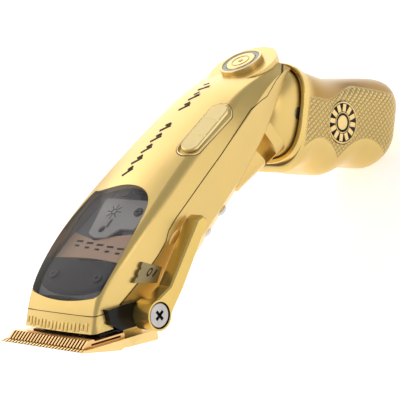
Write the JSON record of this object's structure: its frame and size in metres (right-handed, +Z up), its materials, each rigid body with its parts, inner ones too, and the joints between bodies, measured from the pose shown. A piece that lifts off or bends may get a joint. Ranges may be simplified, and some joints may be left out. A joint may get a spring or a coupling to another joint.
{
  "type": "hair clipper",
  "caption": "Cordless hair clipper with a folding pistol grip, a taper lever beside its toothed blade, a clear lid over the motor, a slide switch and a handle release button.",
  "frame": {"origin": "the guard seat: the middle of the fixed blade's toe underside, 8 mm behind the blade tips", "axes": "+Y back along the body towards the grip, +Z up through the clear lid, +X towards the taper lever"},
  "size_m": [0.0536, 0.1914, 0.0895],
  "materials": {
    "gold_shell": "satin champagne gold lacquer",
    "gold_side": "satin champagne gold lacquer",
    "gold_grip": "satin champagne gold lacquer, knurled panels",
    "smoke_lid": "clear smoke tinted",
    "gold_blade": "gold titanium coating, ground",
    "steel": "machined",
    "spring_steel": "drawn wire",
    "gold_metal": "satin champagne gold",
    "black_plastic": "moulded black",
    "dark_frame": "moulded dark grey",
    "copper_plate": "copper coloured, glossy",
    "laminated_steel": "pressed laminations",
    "copper_wire": "enamelled winding",
    "bronze": "turned",
    "magnet": "ground ferrite",
    "board": "green laminate",
    "chip": "moulded packages",
    "switch_gold": "satin champagne gold",
    "button_gold": "satin champagne gold",
    "grey_ring": "translucent grey light ring",
    "cell": "sleeved cell"
  },
  "bodies": {
    "housing": {"upper_shell": "gold_shell", "lower_shell": "gold_side", "window_lid": "smoke_lid", "neck_housing": "gold_side", "fixed_blade": "gold_blade", "blade_screws": "steel", "lever_bracket": "black_plastic", "lever_bushing": "bronze", "detent_plate": "steel", "motor_frame": "dark_frame", "front_cover": "dark_frame", "band_plate": "copper_plate", "cover_plate": "dark_frame", "frame_screws": "steel", "stator_core": "laminated_steel", "coils": "copper_wire", "pivot_pin": "steel", "circuit_board": "board", "board_screws": "steel", "board_chips": "chip", "switch_body": "black_plastic", "button_bezel": "gold_metal", "indicator_ring": "grey_ring", "button_spring": "spring_steel", "lock_guide": "black_plastic", "housing_screws": "steel", "hinge_pin": "steel", "friction_bushes": "bronze"},
    "lever": {"taper_lever": "gold_metal", "lever_cam": "steel", "lever_screw": "steel", "lever_washer": "steel"},
    "carriage": {"blade_guide": "black_plastic", "blade_springs": "spring_steel"},
    "cutter": {"moving_blade": "gold_blade", "drive_socket": "black_plastic"},
    "arm": {"drive_arm": "laminated_steel", "arm_bushing": "bronze", "drive_finger": "bronze", "arm_magnets": "magnet"},
    "switch": {"switch_slider": "switch_gold"},
    "button": {"release_button": "button_gold", "button_clip": "steel"},
    "handle": {"grip_right": "gold_grip", "grip_left": "gold_grip", "collar_ring": "gold_metal", "hinge_knuckle": "steel", "battery_cell": "cell", "charge_board": "board", "charging_socket": "bronze", "medallion_right": "black_plastic", "medallion_left": "black_plastic", "grip_screws": "steel"}
  },
  "joints": [
    {"name": "taper_lever_turn", "type": "hinge", "parent": "housing", "child": "lever", "pos_m": [0.024, 0.02349, -0.00661], "axis": [1, 0, 0], "range_deg": [-33, 0]},
    {"name": "blade_adjust", "type": "slide", "parent": "housing", "child": "carriage", "axis": [0, 0.7986, -0.6018], "range_m": [-0.0012, 0]},
    {"name": "blade_stroke", "type": "slide", "parent": "carriage", "child": "cutter", "axis": [1, 0, 0], "range_m": [-0.00142, 0.00142]},
    {"name": "arm_swing", "type": "hinge", "parent": "housing", "child": "arm", "pos_m": [0, 0.06049, 0.00539], "axis": [0, 0, 1], "range_deg": [-1.49, 1.49]},
    {"name": "switch_slide", "type": "slide", "parent": "housing", "child": "switch", "axis": [0.022, -0.995, 0.0976], "range_m": [0, 0.0017]},
    {"name": "button_press", "type": "slide", "parent": "housing", "child": "button", "axis": [0, -0.2351, -0.972], "range_m": [0, 0.0012], "stiffness_N_per_m": 600, "springref_m": -0.002, "deforming": ["button_spring"]},
    {"name": "handle_fold", "type": "hinge", "parent": "housing", "child": "handle", "pos_m": [0, 0.13349, -0.01601], "axis": [1, 0, 0], "range_deg": [0, 32]}
  ],
  "couplings": [
    {"joint": "taper_lever_turn", "follows": "blade_adjust", "rad_per_m": 479.6},
    {"joint": "blade_stroke", "follows": "arm_swing", "m_per_rad": 0.05405}
  ]
}
